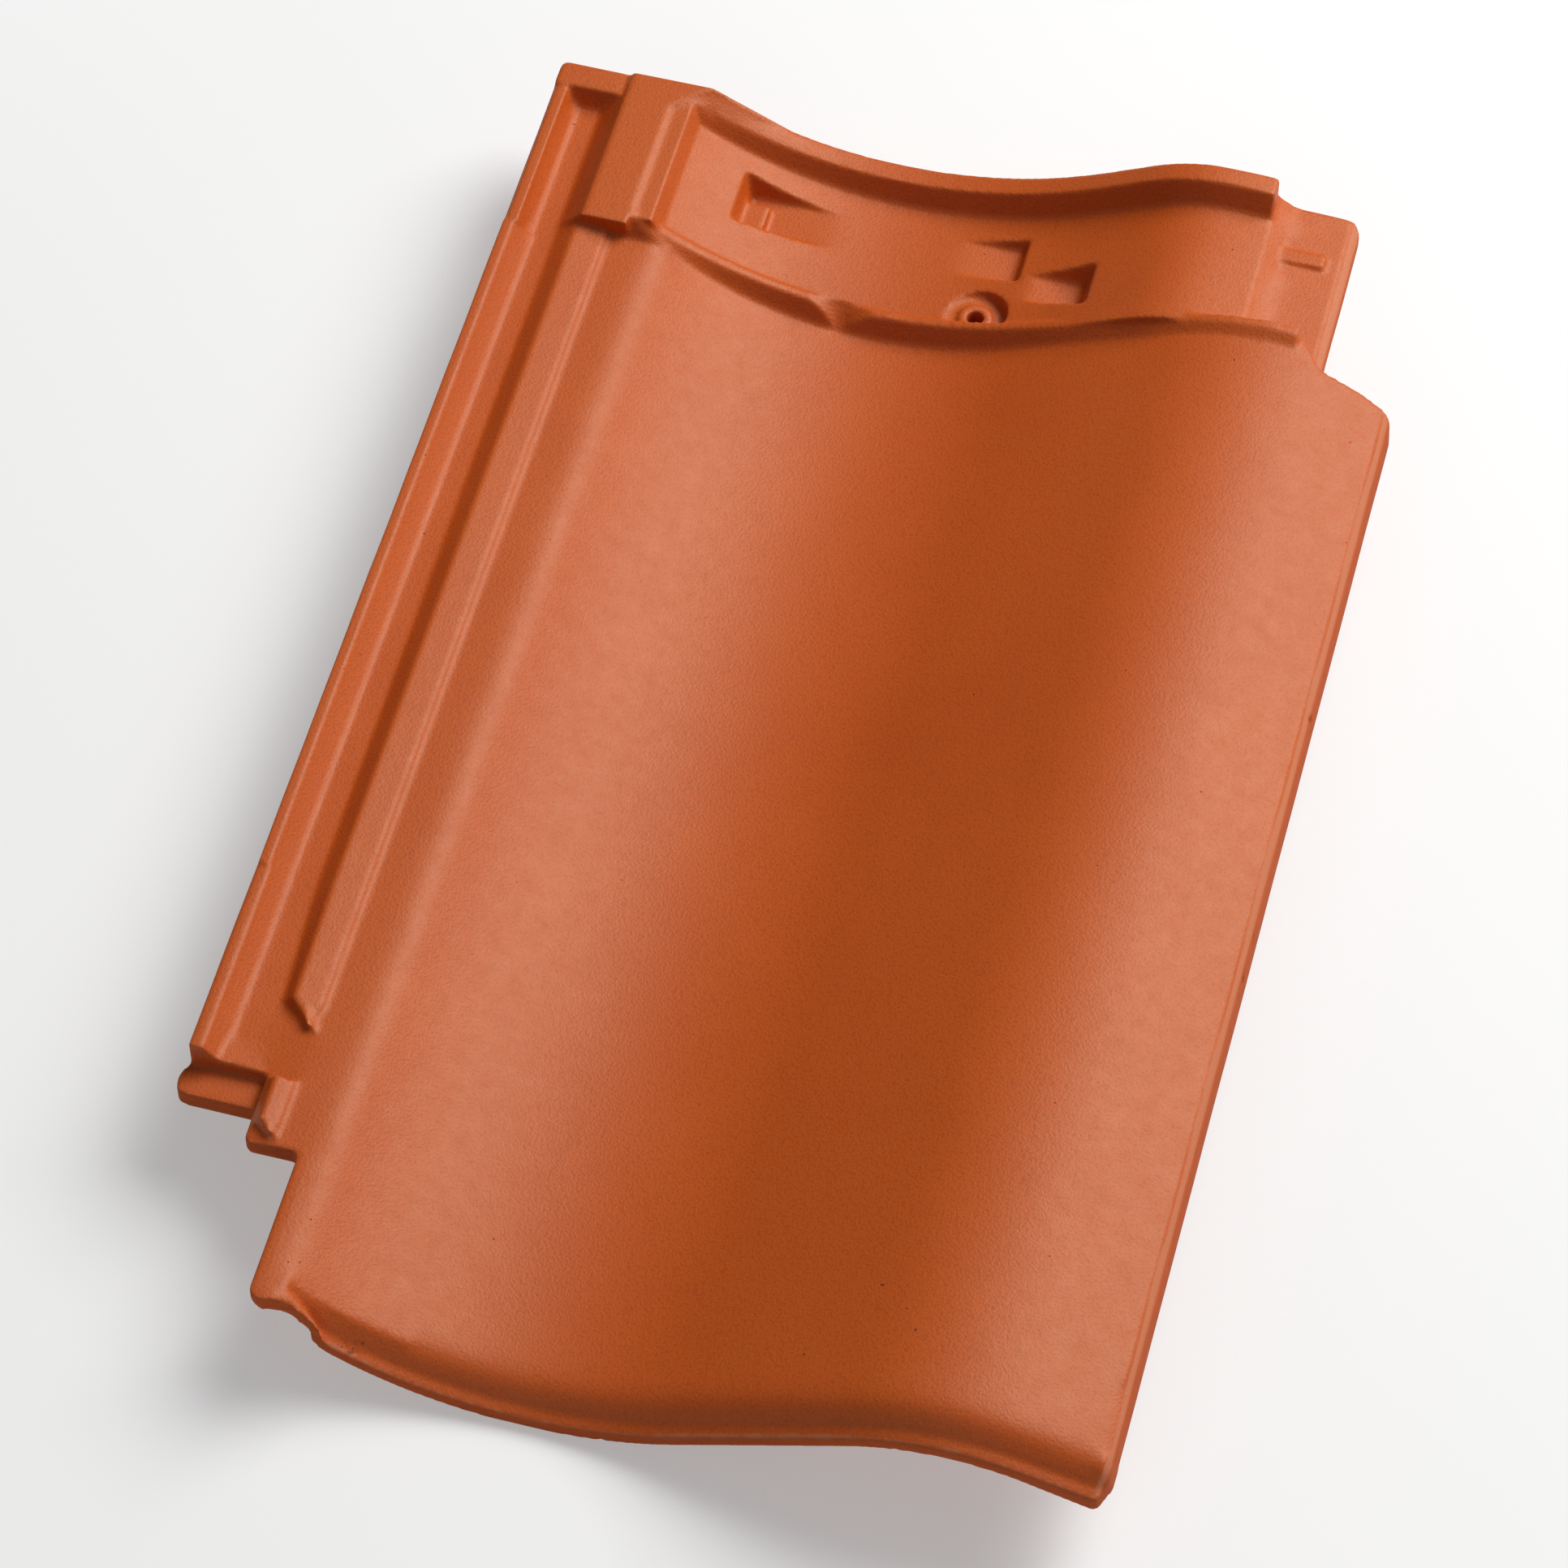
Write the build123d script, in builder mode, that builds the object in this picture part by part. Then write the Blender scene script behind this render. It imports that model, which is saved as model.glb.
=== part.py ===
from math import acos, asin, atan2, cos, hypot, sin, sqrt
import os

from build123d import *

# Interlocking clay roof tile with one pan and one roll, pressed and fired as one piece.
# It lies on its foot nose and two hanging nibs, water side up.
# Across is measured from the left lock edge, along from the foot, heights from the floor.
# An inset is measured from the right edge, and a setback from the head edge.

# Overall
tile_length = 486.0
tile_width = 304.0
overrun = 4.0

# Wave of the water side
# A share is of the radius at which an arc would leave no straight run beside it.
trough_across = 126.0
trough_share = 0.5015
band_rise = 26.9
knee_across = 47.8
knee_radius = 12.0
crest_inset = 47.0
crest_rise = 41.1
crest_share = 0.327
crest_fall_share = 0.673
field_left = 42.4
field_wall = 11.2
edge_drop = 8.8
lip_width = 2.6
lip_drop = 3.0
edge_draft = 1.0

# Foot nose and the level tongue at its left end
nose_wall = 12.6
nose_reach = 11.5
nose_lip_length = 16.0
nose_drop = 7.2
nose_along_shares = (1.0, 0.8, 0.62, 0.32, 0.0)
nose_drop_shares = (0.0, 0.07, 0.25, 0.84, 1.0)
nose_left = 61.0
tongue_wall = 5.0
tongue_right = 66.0
tongue_bend = 53.5
tongue_bend_along = 6.8
tongue_bulge = 1.0
tongue_hollow = 3.2
tongue_hollow_across = 55.0
foot_corner_width = 3.5
foot_corner_length = 9.0

# Cover groove under the roll
groove_inset = 61.0
groove_lip = 3.0
groove_wall = 7.3
groove_start = 22.0

# Second step, a bar across the tile
step_setback = 65.5
step_draft = 4.0
step_width = 3.0
step_knee_across = 38.7
step_trough_rise = 7.7
step_trough_share = 0.537
step_crest_rise = 2.5
step_crest_share = 0.288
step_inset = 36.0
step_root = 5.0

# Head zone behind the step, with a plateau and a terrace on its left
plateau_left = 25.5
plateau_rise = 7.6
plateau_width = 15.5
plateau_knee_across = 40.3
plateau_knee = 3.0
terrace_drop = 1.1
terrace_right = 48.3
terrace_slope = 3.2
head_trough_shift = 1.0
head_trough_rise = 6.7
head_trough_share = 0.7146
head_crest_inset = 72.0
head_crest_drop = 2.6
head_crest_share = 0.2297
head_fall_radius = 150.0
head_wall = 11.2

# Flap on the right of the head zone, and the shoulder of the field in front of it
flap_left_inset = 49.0
flap_inset = 26.5
flap_drop = 7.7
flap_fall = 1.0
flap_lip_width = 3.5
flap_lip_drop = 2.5
flap_wall = 9.5
flap_root = 14.0
flap_root_inset = 66.0
shoulder_left_setback = 70.0
shoulder_bend_inset = 12.0
shoulder_bend_setback = 73.0
shoulder_right_setback = 78.0

# Head rim
rim_shift = 4.0
rim_trough_rise = 8.0
rim_trough_share = 0.71
rim_crest_rise = 8.4
rim_crest_share = 0.27
rim_knee_across = 43.4
rim_knee = 12.0
rim_width = 7.7
rim_draft = 4.0
rim_inset = 55.5
rim_ramp_left = 54.5
rim_ramp_right = 84.0

# Side lock on the left: three runs of rim and channel, from the foot to the head
lock_end = 76.8
lock_foot_length = 69.2
lock_head_setback = 72.0
lock_floor_drop = 1.4
lock_depth = 12.5
lock_rim_rise = 5.6
lock_slope_rise = 2.0
lock_bevels = (0.4, 0.4, 1.4)
lock_rim_drops = (0.5, 0.0, 0.0)
lock_rim_rights = (4.4, 3.8, 4.9)
lock_slope_feet = (8.2, 8.0, 7.2)
lock_floor_lefts = (10.8, 10.6, 9.8)
lock_floor_right = 21.5
lock_right = 48.0
lock_bar_length = 10.0
lock_bar_draft = 3.0
lock_bar_rise = 6.1
lock_bar_right = 22.5

# Ridge beside the channel, in two stretches with the gap between them that lets the water out
ridge_right = 35.4
ridge_slope = 1.6
ridge_rise = 3.0
ridge_tilt = 1.4
ridge_feet = (17.3, 19.0, 21.5, 31.0)
ridge_lefts = (23.6, 24.4, 25.2, 32.4)
ridge_gap = 26.2
ridge_point = 8.5
short_ridge_feet = (25.0, 25.0, 31.0)
short_ridge_lefts = (28.3, 28.6, 32.4)
short_ridge_start = 1.3
short_ridge_length = 16.1
short_ridge_point = 4.1

# Lower end of the lock: a ramp in the channel, a ledge and a block
deck_length = 14.2
deck_rise = 1.4
deck_left = 7.0
deck_right = 31.0
deck_tip = 0.6
ledge_length = 10.6
ledge_drop = 5.3
ledge_flare = 2.0
ledge_flare_length = 3.0
block_left = 24.8
block_length = 24.5
block_wall = 6.1

# Corners of the outline in plan
lock_corner = 3.0
ledge_corner = 3.5
block_corner = 3.0
inner_corner = 2.5
tongue_corner = 4.0
hollow_radius = 14.0
foot_corner_round = 2.5
shoulder_corner = 4.5
shoulder_radius = 20.0
flap_corner = 5.0

# Drain notch in the step
notch_shift = 12.0
notch_lefts = (10.5, 18.0)
notch_rights = (16.0, 26.0)
notch_floor = 3.0
notch_rise = 0.8
notch_length = 8.0

# Pockets in the head zone, placed from the trough of its wave
pocket_left = 52.0
pocket_right = 42.5
pocket_rise = 1.6
pocket_setback = 37.5
pocket_length = 15.0
small_pocket_left = 47.5
small_pocket_right = 66.5
small_pocket_setback = 48.5
small_pocket_length = 11.5
pocket_taper = 18.0

# Nail hole, placed from the same trough
nail_shift = 33.5
nail_setback = 55.0
nail_radius = 2.75
nail_collar_radius = 5.6
nail_collar_rise = 1.6
nail_recess_radius = 10.5
nail_recess_depth = 2.6

# Low bar on the flap
weather_bar_left_inset = 60.0
weather_bar_right_inset = 35.0
weather_bar_setback = 24.5
weather_bar_length = 5.0
weather_bar_rise = 0.8

# Hanging nibs under the head
nib_across = 70.0
nib_inset = 94.0
nib_setback = 36.0
nib_width = 16.0
nib_length = 12.0
nib_taper = 6.0
nib_sink = 5.0


def spot(across, height):
    return (across - (tile_width - ledge_flare) / 2, height)


def station(along):
    return Plane(origin=(0, along - tile_length / 2, 0), x_dir=(1, 0, 0), z_dir=(0, -1, 0))


def ground(across, along):
    return (across - (tile_width - ledge_flare) / 2, along - tile_length / 2)


def full_radius(run, rise):
    # Radius of the arc that starts level and reaches a place this far off and this much higher.
    return (run**2 + rise**2) / (2 * rise)


def wave(bend, knee, low, low_share, top, top_share, fall_radius):
    # Points of band, knee, trough, flank and crest, every piece tangent to the next.
    # The band ends where its knee begins to bend, and the trough's left arc follows from that place.
    run = top[0] - low[0]
    rise = top[1] - low[1]
    low_radius = low_share * full_radius(run, rise)
    top_radius = top_share * full_radius(run, rise)
    reach = full_radius(low[0] - bend[0], bend[1] - low[1])
    fall = asin((low[0] - bend[0]) / reach)
    drop = rise - low_radius - top_radius
    flank = asin((low_radius + top_radius) / hypot(run, drop)) + atan2(drop, run)
    return {
        "knee": bend,
        "pan": (bend[0] + knee * sin(fall), bend[1] - knee * (1 - cos(fall))),
        "low": low,
        "pan_radius": reach - knee,
        "low_radius": low_radius,
        "flank": (low[0] + low_radius * sin(flank), low[1] + low_radius * (1 - cos(flank))),
        "roll": (top[0] - top_radius * sin(flank), top[1] - top_radius * (1 - cos(flank))),
        "top": top,
        "radius": top_radius,
        "fall_radius": fall_radius,
    }


def height_on(shape, across):
    # Height of the wave at a place right of its knee.
    if across < shape["flank"][0]:
        radius = shape["pan_radius"] if across < shape["low"][0] else shape["low_radius"]
        return shape["low"][1] + radius - sqrt(radius**2 - (across - shape["low"][0]) ** 2)
    if across < shape["roll"][0]:
        start, end = shape["flank"], shape["roll"]
        return start[1] + (end[1] - start[1]) * (across - start[0]) / (end[0] - start[0])
    radius = shape["radius"] if across < shape["top"][0] else shape["fall_radius"]
    return shape["top"][1] - radius + sqrt(radius**2 - (across - shape["top"][0]) ** 2)


def draw_wave(shape, lift, left, right, lead=()):
    # Draws the wave from left to a place on its crest. A lead takes the place of band and knee.
    def lifted(point):
        return spot(point[0], point[1] + lift)

    low, flank, roll, top = [lifted(shape[name]) for name in ("low", "flank", "roll", "top")]
    end = lifted((right, height_on(shape, right)))
    if lead:
        start, *middle, pan = [lifted(point) for point in lead]
        Polyline(start, *middle, pan)
    else:
        start = lifted((left, shape["knee"][1]))
        knee = lifted(shape["knee"])
        pan = lifted(shape["pan"])
        Line(start, knee)
        TangentArc(knee, pan, tangent=(1, 0))
    TangentArc(low, pan, tangent=(-1, 0))
    TangentArc(low, flank, tangent=(1, 0))
    Line(flank, roll)
    TangentArc(top, roll, tangent=(-1, 0))
    TangentArc(top, end, tangent=(1, 0))
    return start, end


def strip(along, top_shape, top_lift, low_shape, low_lift, left, right, tail=(), low_tail=(), lead=()):
    # A closed section between two waves, with straight runs added at the right end.
    with BuildSketch(station(along)) as section:
        with BuildLine():
            top_start, top_end = draw_wave(top_shape, top_lift, left, right, lead)
            low_start, low_end = draw_wave(low_shape, low_lift, left, right)
            ends = [spot(across, height + top_lift) for across, height in tail]
            low_ends = [spot(across, height + low_lift) for across, height in low_tail]
            Polyline(top_end, *ends, *reversed(low_ends), low_end)
            Line(top_start, low_start)
        make_face()
    return section.sketch


def shape_at(along, *points):
    # A closed section with straight sides.
    with BuildSketch(station(along)) as section:
        with BuildLine():
            Polyline(*[spot(across, height) for across, height in points], close=True)
        make_face()
    return section.sketch


def block(left, right, low, high, start, end):
    section = shape_at(start, (left, low), (right, low), (right, high), (left, high))
    extrude(section, amount=start - end)


def ridge_at(along, foot, left):
    return shape_at(
        along,
        (foot, lock_floor),
        (left, band_height + ridge_rise),
        (ridge_right - ridge_slope, band_height + ridge_rise - ridge_tilt),
        (ridge_right, band_height),
        (ridge_right, lock_bottom),
        (foot, lock_bottom),
    )


def plan_piece(section, outline):
    # The start of a section's run along the tile, kept inside an outline in plan.
    with BuildPart(mode=Mode.PRIVATE) as piece:
        extrude(section, amount=-nose_lip_length - overrun)
        extrude(outline, amount=crest_height, both=True, mode=Mode.INTERSECT)
    return piece.part


# Heights and places that follow from the values above
trough_height = nose_wall
band_height = trough_height + band_rise
crest_across = tile_width - crest_inset
crest_height = trough_height + crest_rise
edge_height = crest_height - edge_drop
plateau_height = band_height + plateau_rise
plateau_right = plateau_left + plateau_width
terrace_height = plateau_height - terrace_drop
head_trough_across = trough_across - head_trough_shift
head_low = (head_trough_across, trough_height + head_trough_rise)
head_top = (tile_width - head_crest_inset, crest_height - head_crest_drop)
flap_left = tile_width - flap_left_inset
flap_right = tile_width - flap_inset
flap_height = crest_height - flap_drop
flap_edge_height = flap_height - flap_fall
rim_right = tile_width - rim_inset
rim_top = head_top[1] + rim_crest_rise
lock_floor = band_height - lock_floor_drop
lock_bottom = band_height - lock_depth
lock_rim = band_height + lock_rim_rise
lock_head_break = tile_length - lock_head_setback
lock_foot_break = lock_end + lock_foot_length
ridge_end = lock_end + ridge_gap
short_ridge_top = lock_end - short_ridge_start
short_ridge_end = short_ridge_top - short_ridge_length
block_end = lock_end - block_length
step_along = tile_length - step_setback
step_top = step_along + step_draft
step_back = step_top + step_width
step_tip = tile_width - step_inset
shoulder_left = tile_length - shoulder_left_setback

# Right edge of the field: a straight run tangent to the crest, a lip and a drafted side
lip_across = tile_width - edge_draft - lip_width
edge_run = lip_across - crest_across
edge_radius = crest_fall_share * full_radius(edge_run, edge_drop)
edge_rise = edge_radius - edge_drop
edge_lean = atan2(edge_rise, edge_run) + acos(edge_radius / hypot(edge_run, edge_rise))
run_across = crest_across + edge_radius * cos(edge_lean)

field = wave(
    (knee_across, band_height), knee_radius, (trough_across, trough_height), trough_share,
    (crest_across, crest_height), crest_share, edge_radius,
)
step = wave(
    (step_knee_across, plateau_height), knee_radius,
    (head_trough_across, trough_height + step_trough_rise), step_trough_share,
    (crest_across, crest_height + step_crest_rise), step_crest_share, edge_radius,
)
head = wave(
    (plateau_knee_across, plateau_height), plateau_knee, head_low, head_trough_share,
    head_top, head_crest_share, head_fall_radius,
)
rim = wave(
    (rim_knee_across, plateau_height), rim_knee,
    (head_trough_across - rim_shift, head_low[1] + rim_trough_rise), rim_trough_share,
    (head_top[0], rim_top), rim_crest_share, head_fall_radius,
)
field_tail = (
    (lip_across, edge_height),
    (tile_width - edge_draft, edge_height - lip_drop),
)
field_low_tail = ((tile_width, edge_height - lip_drop),)

# Left and right ends of the head zone's section
terrace_foot = terrace_right + terrace_slope
head_lead = (
    (plateau_left, plateau_height),
    (plateau_right, plateau_height),
    (plateau_right + terrace_drop, terrace_height),
    (terrace_right, terrace_height),
    (terrace_foot, height_on(head, terrace_foot)),
)
flap_end = flap_right + overrun
head_tail = (
    (flap_left, flap_height),
    (flap_right - flap_lip_width, flap_edge_height),
    (flap_right, flap_edge_height - flap_lip_drop),
    (flap_end, flap_edge_height - flap_lip_drop),
)
head_low_tail = (
    (flap_left, flap_height + head_wall - flap_wall),
    (flap_end, flap_edge_height + head_wall - flap_wall),
)

pocket_floor = head_low[1] + pocket_rise
small_pocket_floor = height_on(head, head_trough_across + small_pocket_left)
pockets = (
    (-pocket_left, pocket_right, pocket_floor, pocket_setback, pocket_length),
    (small_pocket_left, small_pocket_right, small_pocket_floor, small_pocket_setback, small_pocket_length),
)
nail_across = head_trough_across + nail_shift
nail_floor = height_on(head, nail_across) - nail_recess_depth

# Outline in plan, as places with the radius of each corner
ledge_front = lock_end - ledge_length
outline_corners = (
    (0, tile_length, lock_corner),
    (0, lock_end, 0),
    (-ledge_flare, lock_end - ledge_flare_length, ledge_flare_length),
    (-ledge_flare, ledge_front, ledge_corner),
    (block_left, ledge_front, inner_corner),
    (block_left, block_end, block_corner),
    (field_left, block_end, inner_corner),
    (field_left, 0, tongue_corner),
    (tongue_hollow_across, tongue_hollow, hollow_radius),
    (tongue_right, 0, hollow_radius),
    (tile_width - foot_corner_width, 0, foot_corner_round),
    (tile_width, foot_corner_length, foot_corner_round),
    (tile_width, tile_length - shoulder_right_setback, shoulder_corner),
    (tile_width - shoulder_bend_inset, tile_length - shoulder_bend_setback, shoulder_radius),
    (flap_right, shoulder_left, 0),
    (flap_right, tile_length, flap_corner),
)

with BuildPart() as tile:
    # Field, from behind the nose to the back of the step
    field_section = strip(
        nose_reach, field, 0, field, -field_wall, field_left, run_across, field_tail, field_low_tail
    )
    extrude(field_section, amount=nose_reach - step_back)

    # Cover groove under the roll, up to the root of the flap
    groove_end = step_along - flap_root
    groove_left = tile_width - groove_inset
    groove_right = lip_across - groove_lip
    groove_low = edge_height - field_wall - overrun
    with BuildSketch(station(groove_start)) as groove:
        ceiling = [
            spot(across, height_on(field, across) - groove_wall)
            for across in (groove_left, crest_across, run_across)
        ]
        with BuildLine():
            ThreePointArc(*ceiling)
            Polyline(
                ceiling[-1],
                spot(groove_right, edge_height - groove_wall),
                spot(groove_right, groove_low),
                spot(groove_left, groove_low),
                ceiling[0],
            )
        make_face()
    extrude(groove.sketch, amount=groove_start - groove_end, mode=Mode.SUBTRACT)

    # Field's upper right corner, cut back to the end of the step
    with BuildSketch() as shoulder:
        with BuildLine():
            Polyline(
                ground(step_tip, step_back + overrun),
                ground(step_tip, step_back),
                ground(flap_right, shoulder_left),
                ground(tile_width + overrun, shoulder_left),
                ground(tile_width + overrun, step_back + overrun),
                close=True,
            )
        make_face()
    extrude(shoulder.sketch, amount=crest_height + overrun, mode=Mode.SUBTRACT)

    # Head zone with its plateau, terrace and flap
    head_section = strip(
        step_top, head, 0, head, -head_wall, plateau_left, rim_right, head_tail, head_low_tail, head_lead
    )
    extrude(head_section, amount=step_top - tile_length - overrun)
    root_left = tile_width - flap_root_inset
    root_bottom = flap_edge_height - flap_wall
    root = shape_at(
        groove_end, (root_left, root_bottom), (root_left, flap_height), *head_tail, (flap_end, root_bottom)
    )
    extrude(root, amount=groove_end - step_back)

    # Round recess of the nail hole, which the step then partly covers
    with BuildSketch(Plane.XY.offset(nail_floor)) as recess:
        with Locations(ground(nail_across, tile_length - nail_setback)):
            Circle(nail_recess_radius)
            Circle(nail_collar_radius, mode=Mode.SUBTRACT)
    extrude(recess.sketch, amount=crest_height, mode=Mode.SUBTRACT)
    with BuildSketch(Plane.XY.offset(nail_floor + nail_collar_rise)) as collar:
        with Locations(ground(nail_across, tile_length - nail_setback)):
            Circle(nail_collar_radius + overrun)
    extrude(collar.sketch, amount=crest_height, mode=Mode.SUBTRACT)

    # Pockets with flat floors
    for left, right, floor, setback, length in pockets:
        middle = ground(head_trough_across + (left + right) / 2, tile_length - setback + length / 2)
        with BuildSketch(Plane.XY.offset(floor)) as pocket:
            with Locations(middle):
                Rectangle(right - left, length)
        extrude(pocket.sketch, amount=rim_top - floor, taper=-pocket_taper, mode=Mode.SUBTRACT)

    # Step, drafted towards the foot
    step_sections = [
        strip(step_along, field, 0, field, -step_root, plateau_left, step_tip),
        strip(step_top, step, 0, field, -step_root, plateau_left, step_tip),
    ]
    loft(step_sections, ruled=True)
    extrude(step_sections[1], amount=step_top - step_back)

    # Head rim, drafted towards the foot and ramped up to the plateau at its back
    rim_front = tile_length - rim_width
    rim_sections = [
        strip(rim_front - rim_draft, head, 0, head, -step_root, plateau_left, rim_right),
        strip(rim_front, rim, 0, head, -step_root, plateau_left, rim_right),
    ]
    loft(rim_sections, ruled=True)
    ramp = (
        (plateau_left, plateau_height),
        (rim_ramp_left, plateau_height),
        (rim_ramp_right, height_on(rim, rim_ramp_right)),
    )
    rim_end = strip(tile_length, rim, 0, head, -step_root, plateau_left, rim_right, lead=ramp)
    loft([rim_sections[1], rim_end], ruled=True)
    extrude(rim_end, amount=-overrun)

    # Drain notch through the step
    notch_across = trough_across - notch_shift
    notch_top = trough_height + step_trough_rise + overrun
    notch_sections = []
    for along, left, right, floor in zip(
        (step_along, step_along + notch_length), notch_lefts, notch_rights,
        (trough_height + notch_rise, head_low[1]),
    ):
        notch_sections.append(
            shape_at(
                along,
                (notch_across - left, notch_top),
                (notch_across - notch_floor / 2, floor),
                (notch_across + notch_floor / 2, floor),
                (notch_across + right, notch_top),
            )
        )
    loft(notch_sections, ruled=True, mode=Mode.SUBTRACT)

    # Side lock: three runs of rim, slope and channel floor
    run_ends = (lock_end, lock_foot_break, lock_head_break, tile_length + overrun)
    for start, stop, bevel, drop, right, slope_foot, floor_left in zip(
        run_ends, run_ends[1:], lock_bevels, lock_rim_drops,
        lock_rim_rights, lock_slope_feet, lock_floor_lefts,
    ):
        lock_run = shape_at(
            start,
            (-overrun, lock_bottom),
            (-overrun, lock_rim - drop - bevel),
            (0, lock_rim - drop - bevel),
            (bevel, lock_rim - drop),
            (right, lock_rim - drop),
            (slope_foot, lock_floor + lock_slope_rise),
            (floor_left, lock_floor),
            (lock_floor_right, lock_floor),
            (ridge_right, band_height),
            (lock_right, band_height),
            (lock_right, lock_bottom),
        )
        extrude(lock_run, amount=start - stop)

    # Bank of the channel under the plateau, and the bar that closes the channel at the head
    bank = shape_at(
        step_along,
        (ridge_feet[0], lock_bottom),
        (ridge_feet[0], lock_floor),
        (plateau_left, plateau_height),
        (plateau_right, plateau_height),
        (plateau_right, lock_bottom),
    )
    extrude(bank, amount=step_along - tile_length - overrun)
    bar_front = tile_length - lock_bar_length
    bar_sections = [
        shape_at(
            along,
            (-overrun, lock_bottom), (-overrun, top), (lock_bar_right, top), (lock_bar_right, lock_bottom),
        )
        for along, top in (
            (bar_front - lock_bar_draft, lock_floor), (bar_front, band_height + lock_bar_rise),
        )
    ]
    loft(bar_sections, ruled=True)
    extrude(bar_sections[1], amount=-lock_bar_length - overrun)

    # Ridges, each with a slanted point at its lower end
    long_stations = (step_top, lock_foot_break, ridge_end, ridge_end - ridge_point)
    short_stations = (short_ridge_top, short_ridge_end, short_ridge_end - short_ridge_point)
    for stations, feet, lefts in (
        (long_stations, ridge_feet, ridge_lefts),
        (short_stations, short_ridge_feet, short_ridge_lefts),
    ):
        ridge_sections = [ridge_at(*row) for row in zip(stations, feet, lefts)]
        loft(ridge_sections, ruled=True)

    # Lower end of the lock: ramp, ledge and block
    deck_sections = [
        shape_at(
            along,
            (deck_left, lock_bottom),
            (deck_left, lock_floor + rise),
            (right, lock_floor),
            (right, lock_bottom),
        )
        for along, right, rise in (
            (lock_end, deck_right, deck_rise), (lock_end + deck_length, deck_left + deck_tip, deck_tip),
        )
    ]
    loft(deck_sections, ruled=True)
    block(-overrun, block_left, lock_bottom, band_height - ledge_drop, ledge_front - overrun, lock_end)
    lower_block = shape_at(
        block_end - overrun,
        (block_left, lock_floor - block_wall),
        (block_left, lock_floor),
        (ridge_right, band_height),
        (lock_right, band_height),
        (lock_right, lock_floor - block_wall),
    )
    extrude(lower_block, amount=block_end - overrun - lock_end)

    # Nose, rounded down over the foot
    nose_sections = [
        strip(
            nose_reach * along_share, field, -nose_drop * drop_share, field, -nose_wall,
            field_left, run_across, field_tail, field_low_tail,
        )
        for along_share, drop_share in zip(nose_along_shares, nose_drop_shares)
    ]
    loft(nose_sections, ruled=True)
    extrude(nose_sections[0], amount=nose_reach - nose_lip_length)
    extrude(nose_sections[-1], amount=overrun)

    # Tongue left of the nose: level with the field above, thinner than the nose below
    with BuildSketch(mode=Mode.PRIVATE) as tongue_plan:
        with BuildLine():
            Polyline(
                ground(tongue_bend, tongue_bend_along),
                ground(tongue_bend, nose_lip_length),
                ground(field_left, nose_lip_length),
                ground(field_left, -overrun),
                ground(tongue_right, -overrun),
                ground(tongue_right, 0),
            )
            ThreePointArc(
                ground(tongue_right, 0),
                ground((tongue_right + tongue_bend) / 2, tongue_bend_along / 2 + tongue_bulge),
                ground(tongue_bend, tongue_bend_along),
            )
        make_face()
    with BuildSketch(mode=Mode.PRIVATE) as relief_plan:
        with BuildLine():
            Polyline(
                ground(field_left - overrun, -overrun),
                ground(nose_left, -overrun),
                ground(nose_left, nose_lip_length),
                ground(field_left - overrun, nose_lip_length),
                close=True,
            )
        make_face()
    tongue_section = strip(-overrun, field, 0, field, -tongue_wall, field_left, run_across)
    relief_section = strip(
        -overrun, field, -tongue_wall, field, -nose_wall - overrun, field_left - overrun, run_across
    )
    add(plan_piece(tongue_section, tongue_plan.sketch))
    add(plan_piece(relief_section, relief_plan.sketch), mode=Mode.SUBTRACT)

    # Outline in plan with its rounded corners
    with BuildSketch(Plane.XY.offset(-overrun)) as outline:
        with BuildLine():
            FilletPolyline(
                *[ground(across, along) for across, along, radius in outline_corners],
                radius=[radius for across, along, radius in outline_corners],
                close=True,
            )
        make_face()
    extrude(outline.sketch, amount=rim_top + overrun + overrun, mode=Mode.INTERSECT)

    # Nail hole through the head
    with BuildSketch() as nail:
        with Locations(ground(nail_across, tile_length - nail_setback)):
            Circle(nail_radius)
    extrude(nail.sketch, amount=crest_height, mode=Mode.SUBTRACT)

    # Low bar on the flap
    bar_start = tile_length - weather_bar_setback
    block(
        tile_width - weather_bar_left_inset, tile_width - weather_bar_right_inset,
        flap_edge_height - weather_bar_rise, flap_height + weather_bar_rise,
        bar_start, bar_start + weather_bar_length,
    )

    # Hanging nibs, with their feet on the floor
    for across in (nib_across, tile_width - nib_inset):
        under = height_on(head, across) - head_wall
        with BuildSketch() as nib:
            with Locations(ground(across, tile_length - nib_setback)):
                Rectangle(nib_width, nib_length)
        extrude(nib.sketch, amount=under + nib_sink, taper=-nib_taper)

tile.part.label = "roof_tile"
os.makedirs("parts", exist_ok=True)
export_step(tile.part, "parts/roof_tile.step")
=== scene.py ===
import math

import bmesh
import bpy
import numpy as np
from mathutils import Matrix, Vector
from mathutils.bvhtree import BVHTree


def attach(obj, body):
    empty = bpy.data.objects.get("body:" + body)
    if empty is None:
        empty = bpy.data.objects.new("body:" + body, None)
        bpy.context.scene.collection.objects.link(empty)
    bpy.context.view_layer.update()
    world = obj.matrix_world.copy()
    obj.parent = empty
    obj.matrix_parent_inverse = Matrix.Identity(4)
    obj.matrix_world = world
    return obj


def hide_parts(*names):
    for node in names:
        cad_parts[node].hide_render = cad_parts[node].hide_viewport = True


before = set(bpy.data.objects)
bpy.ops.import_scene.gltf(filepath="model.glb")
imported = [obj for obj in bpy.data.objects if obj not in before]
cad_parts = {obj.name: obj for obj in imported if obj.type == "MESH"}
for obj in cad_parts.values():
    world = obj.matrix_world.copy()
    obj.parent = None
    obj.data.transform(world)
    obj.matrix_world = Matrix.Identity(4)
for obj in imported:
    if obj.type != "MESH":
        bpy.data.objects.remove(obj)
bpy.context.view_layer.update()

mm = 0.001
scene = bpy.context.scene
print("frame loaded:", sorted(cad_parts))


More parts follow.
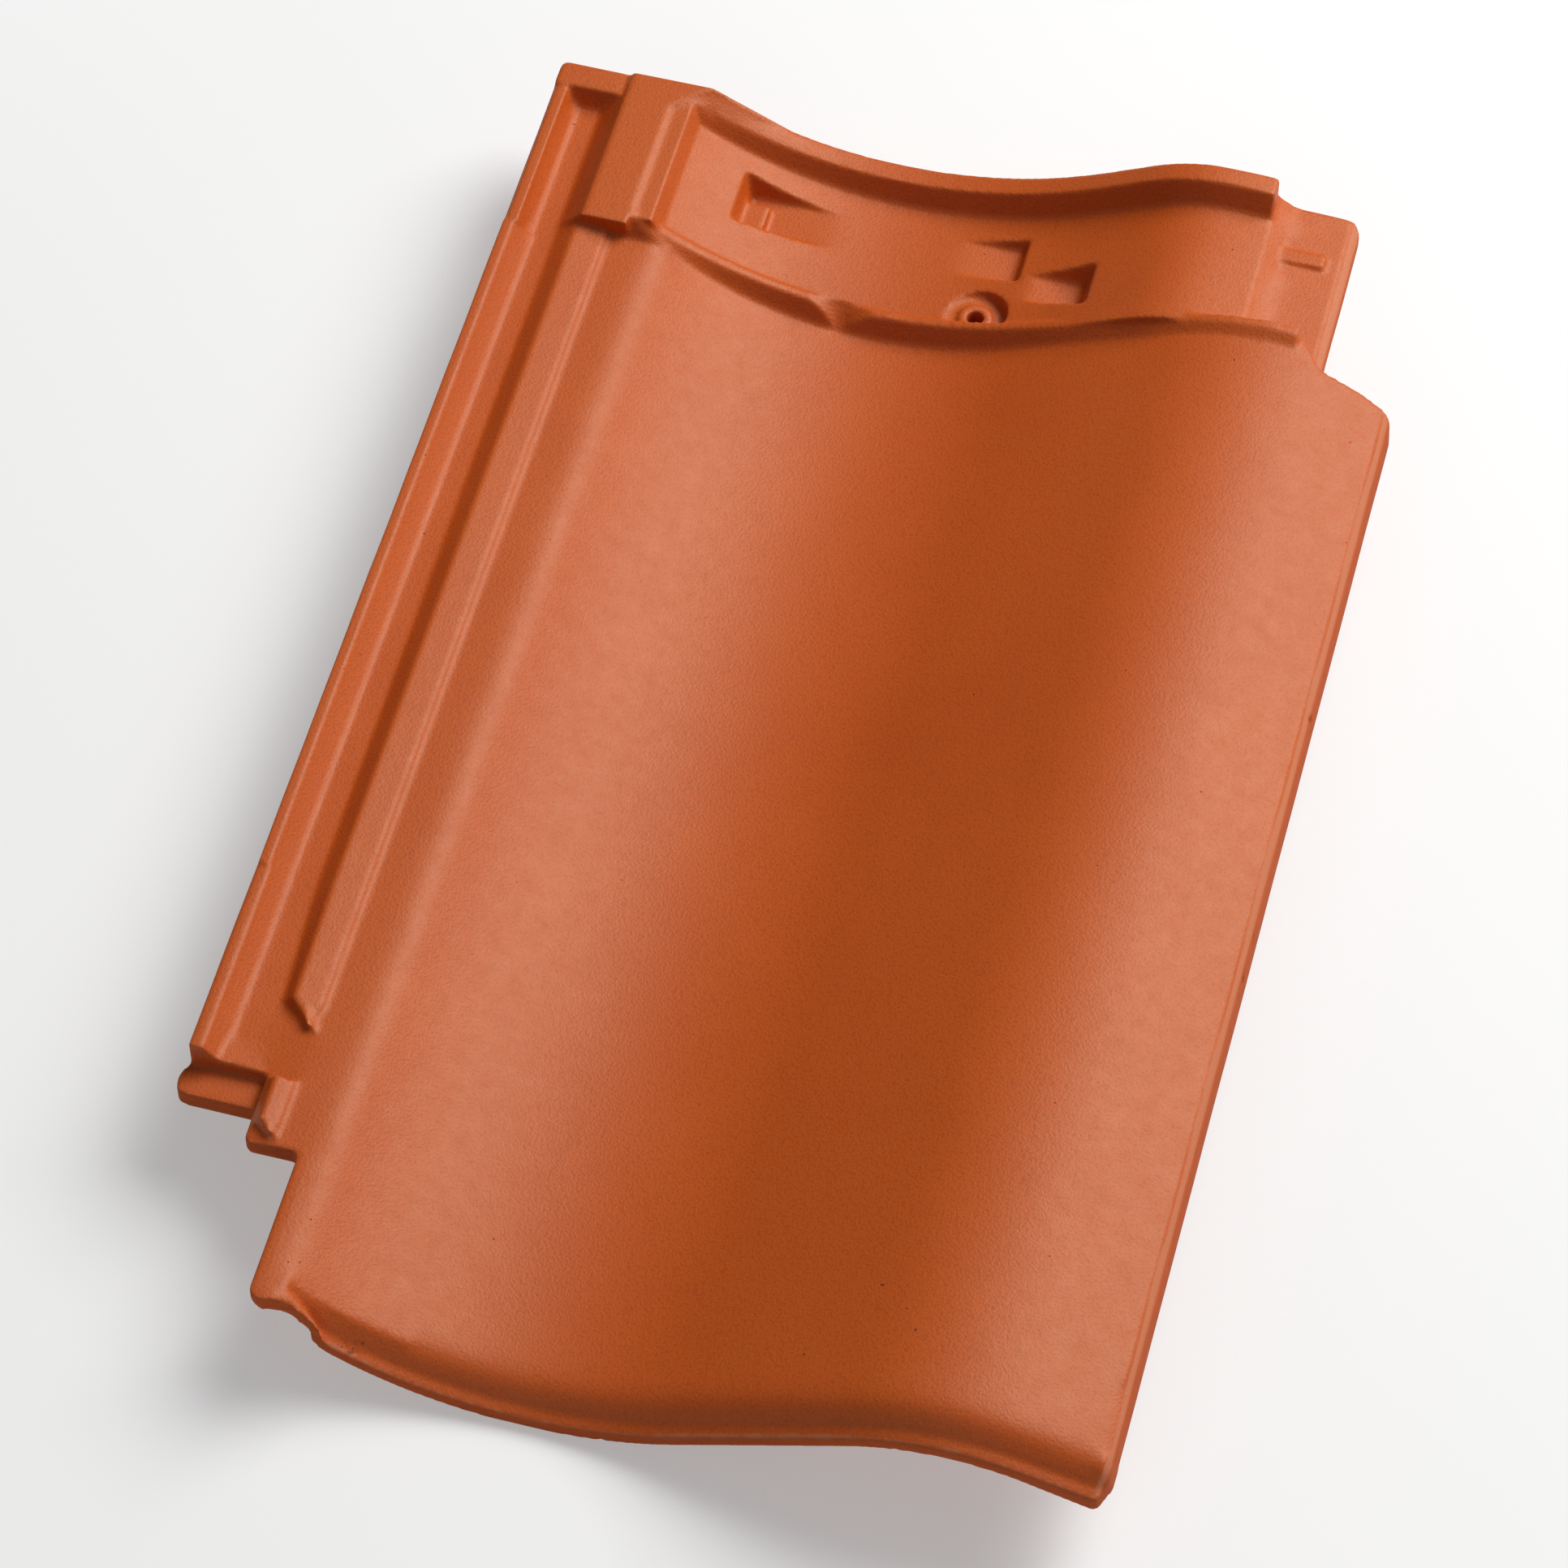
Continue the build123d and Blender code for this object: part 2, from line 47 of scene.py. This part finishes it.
def addNode(tree, kind, links=None, **settings):
    node = tree.nodes.new(kind)
    for name, value in settings.items():
        setattr(node, name, value)
    for name, value in (links or {}).items():
        if isinstance(value, bpy.types.NodeSocket):
            tree.links.new(value, node.inputs[name])
        else:
            node.inputs[name].default_value = value
    return node


def hexColour(text):
    channels = [int(text[i:i + 2], 16) / 255 for i in (1, 3, 5)]
    linear = [c / 12.92 if c <= 0.04045 else ((c + 0.055) / 1.055) ** 2.4 for c in channels]
    return (*linear, 1.0)


def perSize(sizeMm):
    return 1 / (sizeMm * mm)  # texture scale that gives features of this size


def newMaterial(name):
    material = bpy.data.materials.new(name)
    material.use_nodes = True
    material.node_tree.nodes.clear()
    return material, material.node_tree


def bakeModifiers(piece):
    graph = bpy.context.evaluated_depsgraph_get()
    mesh = bpy.data.meshes.new_from_object(piece.evaluated_get(graph))
    piece.modifiers.clear()
    piece.data = mesh


def readPoints(mesh):
    points = np.empty(len(mesh.vertices) * 3)
    mesh.vertices.foreach_get("co", points)
    return points.reshape(-1, 3)


def readNormals(mesh):
    normals = np.empty(len(mesh.vertices) * 3)
    mesh.vertices.foreach_get("normal", normals)
    return normals.reshape(-1, 3)


def readEdges(mesh):
    edges = np.empty(len(mesh.edges) * 2, np.int64)
    mesh.edges.foreach_get("vertices", edges)
    counts = np.maximum(np.bincount(edges, minlength=len(mesh.vertices)), 1)
    return edges.reshape(-1, 2), counts


# Tile body: the pressed shape with soft edges, a slight warp from firing and a few chips.
# Lengths and places are in mm, x across from the lock to the roll and y along from foot to head.
tileLook = {
    "mergeGap": 0.01,
    "voxel": 0.85,
    "softRounds": 3,
    "softFactor": 0.5,
    "featureBend": (0.05, 0.10),  # bend per mm over which a place turns into an edge that is kept
    "featureSpread": 7,
    "softDip": ((-62, 150), (-238, -205)),  # across and along: the foot's dip, smoothed as well
    "dipRise": 0.5,               # how far up a face of the dip has to look
    "broadRounds": 180,
    "broadSteps": 4,
    "warpHeight": 0.10,
    "warpLengths": (95, 61, 37),
    "warpSkew": 0.83,
    "warpTurn": 2.1,
    "triangles": 190000,
    "edgeReach": 3,               # how far outside a side face the tile has to end
    "sideRise": (-0.55, 0.85),    # how far up a face of the tile's side looks
    "lipRise": 0.5,               # from here on it is the lip above the trimmed edge
    "edgeSpread": 3,
    "shadeAndWearSpread": 3,
    # Chips on the trimmed edges: place, radius and depth
    "chips": (
        ((152.4, 41.5, 41.0), 1.6, 0.7),
        ((153.0, -43.0, 40.5), 1.3, 0.6),
        ((152.8, -58.0, 40.0), 1.8, 0.6),
        ((-78.6, -241.2, 22.5), 0.7, 0.3),
        ((-77.2, -242.0, 22.0), 0.9, 0.4),
        ((-75.9, -241.3, 22.0), 0.6, 0.3),
        ((-74.8, -242.1, 21.5), 0.9, 0.4),
        ((-73.9, -241.2, 21.5), 0.7, 0.3),
        ((0.0, -242.8, 3.5), 1.4, 0.5),
        ((90.0, -242.8, 38.0), 1.5, 0.5),
    ),
    "chipFall": 2,
    "chipRagged": 0.45,
    "chipWaves": (5.1, 4.3, 6.7),  # waves of the ragged outline, in radians per mm
    "ribDepth": 2.2,
    "ribOverlap": 0.1,
    # Rib under the tongue at the foot's left: across, front, back and the tongue's underside
    "rib": (
        (-107.0, -240.8, -228.0, 34.5),
        (-104.5, -241.7, -228.0, 34.5),
        (-100.0, -240.7, -228.0, 34.0),
        (-96.0, -240.2, -228.0, 32.1),
        (-92.0, -240.8, -228.0, 29.1),
        (-90.0, -241.4, -228.0, 27.7),
        (-89.9, -241.4, -239.4, 27.6),
        (-88.0, -242.0, -240.6, 26.4),
        (-85.6, -242.6, -242.0, 24.8),
    ),
}


def addRib(shape):
    look = tileLook
    end = None
    for across, front, back, under in look["rib"]:
        top, bottom = under + look["ribOverlap"], under - look["ribDepth"]
        corners = [
            Vector((across, along, height)) * mm
            for along, height in ((front, top), (front, bottom), (back, bottom), (back, top))
        ]
        if end is None:
            end = shape.faces.new([shape.verts.new(corner) for corner in corners])
        else:
            made = bmesh.ops.extrude_face_region(shape, geom=[end])["geom"]
            end = next(part for part in made if isinstance(part, bmesh.types.BMFace))
            for vert, corner in zip(end.verts, corners):
                vert.co = corner
    bmesh.ops.recalc_face_normals(shape, faces=shape.faces)


def softTile(node):
    look = tileLook
    shape = bmesh.new()
    shape.from_mesh(node.data)
    bmesh.ops.remove_doubles(shape, verts=shape.verts, dist=look["mergeGap"] * mm)
    addRib(shape)  # the remesh fuses it with the tile
    mesh = bpy.data.meshes.new("pressed_tile")
    shape.to_mesh(mesh)
    shape.free()
    piece = bpy.data.objects.new("pressed_tile", mesh)
    scene.collection.objects.link(piece)

    grid = piece.modifiers.new("grid", "REMESH")
    grid.mode = "VOXEL"
    grid.voxel_size = look["voxel"] * mm
    grid.use_smooth_shade = True
    soft = piece.modifiers.new("soft", "SMOOTH")
    soft.factor = look["softFactor"]
    soft.iterations = look["softRounds"]
    bakeModifiers(piece)
    print("remeshed:", len(piece.data.polygons), "faces")
    return piece


def spread(values, edges, counts, rounds):
    for _ in range(rounds):
        total = np.bincount(edges[:, 0], values[edges[:, 1]], len(values))
        total += np.bincount(edges[:, 1], values[edges[:, 0]], len(values))
        values = 0.5 * values + 0.5 * total / counts
    return values


def edgeBend(points, normals, edges, counts):
    # How far the neighbours lie below the surface: above zero on outer edges, below in corners
    bend = np.zeros(len(points))
    step = points[edges[:, 1]] - points[edges[:, 0]]
    length = np.linalg.norm(step, axis=1) ** 2
    for start, sign in ((0, 1), (1, -1)):
        rise = np.einsum("ij,ij->i", step, normals[edges[:, start]]) * sign / length
        bend -= np.bincount(edges[:, start], rise, len(points))
    return bend / counts * mm


def fairTile(piece):
    # Broad faces are smoothed far, so the wave runs without facets, and edges stay as they are
    look = tileLook
    mesh = piece.data
    points = readPoints(mesh)
    normals = readNormals(mesh)
    edges, counts = readEdges(mesh)
    bend = spread(edgeBend(points, normals, edges, counts), edges, counts, 1)
    low, high = look["featureBend"]
    keep = np.clip((np.abs(bend) - low) / (high - low), 0, 1)
    dip = normals[:, 2] > look["dipRise"]
    for axis, (start, stop) in enumerate(look["softDip"]):
        dip &= (points[:, axis] > start * mm) & (points[:, axis] < stop * mm)
    keep[dip] = 0
    for _ in range(look["featureSpread"]):
        keep = np.clip(2 * spread(keep, edges, counts, 1), 0, 1)

    group = piece.vertex_groups.new(name="broad")
    weights = np.rint(look["broadSteps"] * (1 - keep))
    for weight in range(1, look["broadSteps"] + 1):
        group.add(np.nonzero(weights == weight)[0].tolist(), weight / look["broadSteps"], "REPLACE")
    fair = piece.modifiers.new("fair", "SMOOTH")
    fair.factor = look["softFactor"]
    fair.iterations = look["broadRounds"]
    fair.vertex_group = "broad"
    bakeModifiers(piece)
    piece.vertex_groups.clear()
    print("broad share:", float((weights == look["broadSteps"]).mean()))


def chipShares(points):
    # Each chip's share at every point, from the surface point nearest its place, with a ragged rim
    look = tileLook
    ragged = 1 + look["chipRagged"] * np.sin(points / mm @ np.array(look["chipWaves"]))
    for place, radius, depth in look["chips"]:
        centre = points[((points - np.array(place) * mm) ** 2).sum(axis=1).argmin()]
        away = (((points - centre) / (radius * mm)) ** 2).sum(axis=1)
        yield np.exp(-look["chipFall"] * away * ragged), depth


def warpTile(piece):
    look = tileLook
    mesh = piece.data
    points = readPoints(mesh)
    lift = np.zeros(len(points))
    for turn, length in enumerate(look["warpLengths"]):
        phase = points / (length * mm) * 2 * math.pi
        across = np.sin(phase[:, 0] + turn)
        lift += across * np.cos(phase[:, 1] * look["warpSkew"] + look["warpTurn"] * turn)
    # The warp only goes inwards, so the tile stays inside its box
    lift = (lift / len(look["warpLengths"]) - 1) * look["warpHeight"] * mm
    for share, depth in chipShares(points):
        lift -= depth * mm * share
    points += readNormals(mesh) * lift[:, None]
    mesh.vertices.foreach_set("co", points.ravel())
    mesh.update()
    print("warped, with", len(look["chips"]), "chips")


def thinTile(piece):
    triangles = 2 * len(piece.data.polygons)
    thin = piece.modifiers.new("thin", "DECIMATE")
    thin.ratio = min(1.0, tileLook["triangles"] / triangles)
    bakeModifiers(piece)
    piece.data.shade_smooth()
    print("thinned:", sum(len(p.vertices) - 2 for p in piece.data.polygons), "triangles")


def markTile(piece):
    look = tileLook
    mesh = piece.data
    points = readPoints(mesh)
    normals = readNormals(mesh)
    edges, counts = readEdges(mesh)

    # Faces past which the tile ends: the steep ones are the trimmed edge, the leaning ones its lip
    tree = BVHTree.FromObject(piece, bpy.context.evaluated_depsgraph_get())
    raw = np.zeros(len(points))
    lip = np.zeros(len(points))
    low, high = look["sideRise"]
    for index in np.nonzero((normals[:, 2] > low) & (normals[:, 2] < high))[0]:
        side = Vector((normals[index, 0], normals[index, 1], 0)).normalized()
        outside = Vector(points[index]) + side * look["edgeReach"] * mm
        outside.z = 1  # well above the tile
        if tree.ray_cast(outside, Vector((0, 0, -1)))[0] is None:
            (raw if normals[index, 2] < look["lipRise"] else lip)[index] = 1

    bend = edgeBend(points, normals, edges, counts)
    for name, values in (
        ("rawEdge", spread(raw, edges, counts, look["edgeSpread"])),
        ("trimmedLip", spread(lip, edges, counts, look["edgeSpread"])),
        # bend of the surface: paler painted highlight and wear on outer edges, painted shade in
        # corners
        ("edgeBend", spread(bend, edges, counts, look["shadeAndWearSpread"])),
        ("chipped", sum(share for share, depth in chipShares(points))),
    ):
        layer = mesh.attributes.new(name, "FLOAT", "POINT")
        layer.data.foreach_set("value", values.astype(np.float32))
    print("marked:", int(raw.sum()), "edge points and", int(lip.sum()), "lip points")


# Fired clay, pressed and coated with a thin slip. The slip gives a satin sheen on the surfaces that
# lean to the light, broken up by fine sand grain. Where the edge was trimmed the bare clay is
# browner, duller and layered. Shade is painted darker into the inner corners and the chips' dents,
# and the outer edges are painted paler, partly as highlight and partly as wear.
clayLook = {
    "base": "#BE4F0C",
    "warm": "#C2530F",
    # deep: a darker tone in the mottle and grain, and the painted shade in the inner corners
    "deep": "#A84208",
    "edge": "#C65A29",
    "edgeLayer": "#A44A21",
    "lip": "#C5714C",
    # pit: dark specks, and the painted shade in the chips' dents
    "pit": "#4E1C06",
    # pale: painted highlight along the outer edges, with a little wear
    "pale": "#D07840",
    "sheen": "#FFFBE2",
    # Patterns: feature size in mm and detail
    "noises": {
        "cloud": (80, 3),
        "mottle": (6, 4),
        "grain": (0.9, 2),        # coarser than the real sand, so that it shows
        "pit": (2.6, 1),
    },
    "layerMm": (9, 9, 1.6),
    "layerDetail": 3,
    "noiseRoughness": 0.6,
    # Coats over the base: where each lies, from which value to which, how strong, and its colour
    "coats": (
        ("cloud", 0.35, 0.65, 1.0, "warm"),
        ("mottle", 0.5, 0.75, 0.1, "deep"),
        ("grain", 0.45, 0.7, 0.6, "deep"),
        # outer edges paler: painted highlight, partly wear
        ("edgeBend", 0.08, 0.4, 0.3, "pale"),
        # inner corners darker: painted shade
        ("edgeBend", -0.05, -0.35, 0.7, "deep"),
        ("pit", 0.82, 0.85, 0.7, "pit"),
        ("trimmedLip", 0.2, 0.8, 0.85, "lip"),
        ("rawEdge", 0.2, 0.8, 1.0, "edge"),
        # chips' dents darker: painted shade
        ("chipped", 0.2, 0.8, 0.6, "pit"),
    ),
    "gloss": 1.56,                # index of refraction of the fired slip
    "slipRoughness": (0.50, 0.56),
    "slipRange": (0.3, 0.7),      # mottle values over which the slip gets rougher
    "slipSheen": 0.5,
    "edgeRoughness": 0.8,
    "edgeSheen": 0.12,
    "pitRange": (0.81, 0.85),
    "grainDepth": 0.16,           # depths in mm
    "pitDepth": 0.25,
    "layerDepth": 0.35,
}


def clayMaterial():
    look = clayLook
    material, tree = newMaterial("terracotta_pressed_slip")
    place = addNode(tree, "ShaderNodeTexCoord").outputs["Object"]
    layerPlace = addNode(tree, "ShaderNodeVectorMath", {
        0: place, 1: [perSize(size) for size in look["layerMm"]],
    }, operation="MULTIPLY").outputs["Vector"]
    patterns = [
        (name, place, perSize(size), detail) for name, (size, detail) in look["noises"].items()
    ]
    patterns.append(("layer", layerPlace, 1, look["layerDetail"]))
    marks = {}
    for name, where, scale, detail in patterns:
        marks[name] = addNode(tree, "ShaderNodeTexNoise", {
            "Vector": where, "Scale": scale, "Detail": detail, "Roughness": look["noiseRoughness"],
        }).outputs["Fac"]
    for name in ("rawEdge", "trimmedLip", "edgeBend", "chipped"):
        marks[name] = addNode(tree, "ShaderNodeAttribute", attribute_name=name).outputs["Fac"]
    raw = marks["rawEdge"]

    # A Mix node takes its share in socket 0, values in 2 and 3, and colours in 6 and 7
    colour = hexColour(look["base"])
    for source, low, high, strength, tint in look["coats"]:
        share = addNode(tree, "ShaderNodeMapRange", {
            "Value": marks[source], "From Min": low, "From Max": high, "To Max": strength,
        }, interpolation_type="SMOOTHSTEP").outputs["Result"]
        colour = addNode(tree, "ShaderNodeMix", {
            0: share, 6: colour, 7: hexColour(look[tint]),
        }, data_type="RGBA").outputs[2]
    layered = addNode(tree, "ShaderNodeMath", {
        0: raw, 1: marks["layer"],
    }, operation="MULTIPLY").outputs[0]
    colour = addNode(tree, "ShaderNodeMix", {
        0: layered, 6: colour, 7: hexColour(look["edgeLayer"]),
    }, data_type="RGBA").outputs[2]

    slip = addNode(tree, "ShaderNodeMapRange", {
        "Value": marks["mottle"],
        "From Min": look["slipRange"][0], "From Max": look["slipRange"][1],
        "To Min": look["slipRoughness"][0], "To Max": look["slipRoughness"][1],
    }).outputs["Result"]
    roughness = addNode(tree, "ShaderNodeMix", {0: raw, 2: slip, 3: look["edgeRoughness"]})
    sheen = addNode(tree, "ShaderNodeMix", {0: raw, 2: look["slipSheen"], 3: look["edgeSheen"]})

    pitted = addNode(tree, "ShaderNodeMapRange", {
        "Value": marks["pit"], "From Min": look["pitRange"][0], "From Max": look["pitRange"][1],
        "To Min": 1, "To Max": 0,
    }).outputs["Result"]
    relief = {}
    for height, depth in (
        (marks["grain"], "grainDepth"), (pitted, "pitDepth"), (layered, "layerDepth"),
    ):
        bump = addNode(tree, "ShaderNodeBump", {
            "Height": height, "Strength": 1, "Distance": look[depth] * mm, **relief,
        })
        relief = {"Normal": bump.outputs["Normal"]}
    shader = addNode(tree, "ShaderNodeBsdfPrincipled", {
        "Base Color": colour, "Roughness": roughness.outputs[0], "IOR": look["gloss"],
        "Specular IOR Level": sheen.outputs[0], "Specular Tint": hexColour(look["sheen"]), **relief,
    })
    addNode(tree, "ShaderNodeOutputMaterial", {"Surface": shader.outputs["BSDF"]})
    print("clay made with", len(look["coats"]), "coats")
    return material


tile = softTile(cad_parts["roof_tile"])
fairTile(tile)
warpTile(tile)
thinTile(tile)
markTile(tile)
tile.data.materials.clear()
tile.data.materials.append(clayMaterial())
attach(tile, "root")
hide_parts("roof_tile")

# Floor: a wide sheet of white studio paper that looks evenly white away from the tile's shadow
floorLook = {
    "halfWidth": 30.0,
    "paper": "#F8F8F7",
    "roughness": 0.9,
    "white": 0.96,
    "whiteFrom": (0.30, 0.85),    # metres from the tile's middle over which the shadow fades out
    "whiteShares": (0.35, 1.0),
}


def makeFloor():
    look = floorLook
    shape = bmesh.new()
    bmesh.ops.create_grid(shape, x_segments=1, y_segments=1, size=look["halfWidth"])
    mesh = bpy.data.meshes.new("floor_sheet")
    shape.to_mesh(mesh)
    shape.free()
    floor = bpy.data.objects.new("floor_sheet", mesh)
    scene.collection.objects.link(floor)

    material, tree = newMaterial("paper_matt_coated")  # even white, no gloss
    paper = addNode(tree, "ShaderNodeBsdfPrincipled", {
        "Base Color": hexColour(look["paper"]), "Roughness": look["roughness"],
    })
    white = addNode(tree, "ShaderNodeEmission", {"Strength": look["white"]})
    place = addNode(tree, "ShaderNodeTexCoord").outputs["Object"]
    away = addNode(tree, "ShaderNodeVectorMath", {0: place}, operation="LENGTH").outputs["Value"]
    share = addNode(tree, "ShaderNodeMapRange", {
        "Value": away, "From Min": look["whiteFrom"][0], "From Max": look["whiteFrom"][1],
        "To Min": look["whiteShares"][0], "To Max": look["whiteShares"][1],
    }, interpolation_type="SMOOTHSTEP").outputs["Result"]
    path = addNode(tree, "ShaderNodeLightPath")
    seen = path.outputs["Is Camera Ray"]
    for ray in ("Is Glossy Ray", "Is Transmission Ray"):
        seen = addNode(tree, "ShaderNodeMath", {
            0: seen, 1: path.outputs[ray],
        }, operation="MAXIMUM").outputs[0]
    share = addNode(tree, "ShaderNodeMath", {0: seen, 1: share}, operation="MULTIPLY").outputs[0]
    surface = addNode(tree, "ShaderNodeMixShader", {
        0: share, 1: paper.outputs["BSDF"], 2: white.outputs[0],
    })
    addNode(tree, "ShaderNodeOutputMaterial", {"Surface": surface.outputs[0]})
    mesh.materials.append(material)
    print("floor laid:", 2 * look["halfWidth"], "m wide")


makeFloor()

# Light: a large soft box at the head's right, a weak one from the foot, and an even white room.
# Each box stands in its direction from the tile, in metres and watts.
lightLook = {
    "boxes": {
        "key_box": {"toward": (0.42, 0.50, 0.757), "distance": 2.6, "size": 1.8, "watts": 82},
        "foot_box": {"toward": (-0.10, -0.80, 0.60), "distance": 2.6, "size": 1.6, "watts": 4},
    },
    "room": 0.11,
}


def makeLight(name, look):
    lamp = bpy.data.lights.new(name, "AREA")
    lamp.shape = "SQUARE"
    lamp.size = look["size"]
    lamp.energy = look["watts"]
    box = bpy.data.objects.new(name, lamp)
    toward = Vector(look["toward"]).normalized()
    box.location = toward * look["distance"]
    box.rotation_euler = toward.to_track_quat("Z", "Y").to_euler()
    scene.collection.objects.link(box)


def makeRoom():
    world = bpy.data.worlds.new("white_room")
    world.use_nodes = True
    tree = world.node_tree
    tree.nodes.clear()
    room = addNode(tree, "ShaderNodeBackground", {
        "Color": (1, 1, 1, 1), "Strength": lightLook["room"],
    })
    addNode(tree, "ShaderNodeOutputWorld", {"Surface": room.outputs[0]})
    scene.world = world


for boxName, boxLook in lightLook["boxes"].items():
    makeLight(boxName, boxLook)
makeRoom()
print("lights set:", sorted(lightLook["boxes"]))

# Camera at the photograph's place and angle
cameraLook = {
    "place": (0.2724, -1.0558, 1.5765),
    "tilt": 34.8,                 # degrees up from straight down
    "turn": 14.9,                 # degrees round to the right
    "lens": 137.5,
    "sensor": 36,
    "farEnd": 50,
}


def makeCamera():
    look = cameraLook
    lens = bpy.data.cameras.new("photo_view")
    lens.lens = look["lens"]
    lens.sensor_width = look["sensor"]
    lens.clip_end = look["farEnd"]
    viewer = bpy.data.objects.new("photo_view", lens)
    viewer.location = look["place"]
    viewer.rotation_euler = (math.radians(look["tilt"]), 0, math.radians(look["turn"]))
    scene.collection.objects.link(viewer)
    scene.camera = viewer
    scene.view_settings.view_transform = "Standard"
    print("camera set:", look["lens"], "mm lens")


makeCamera()
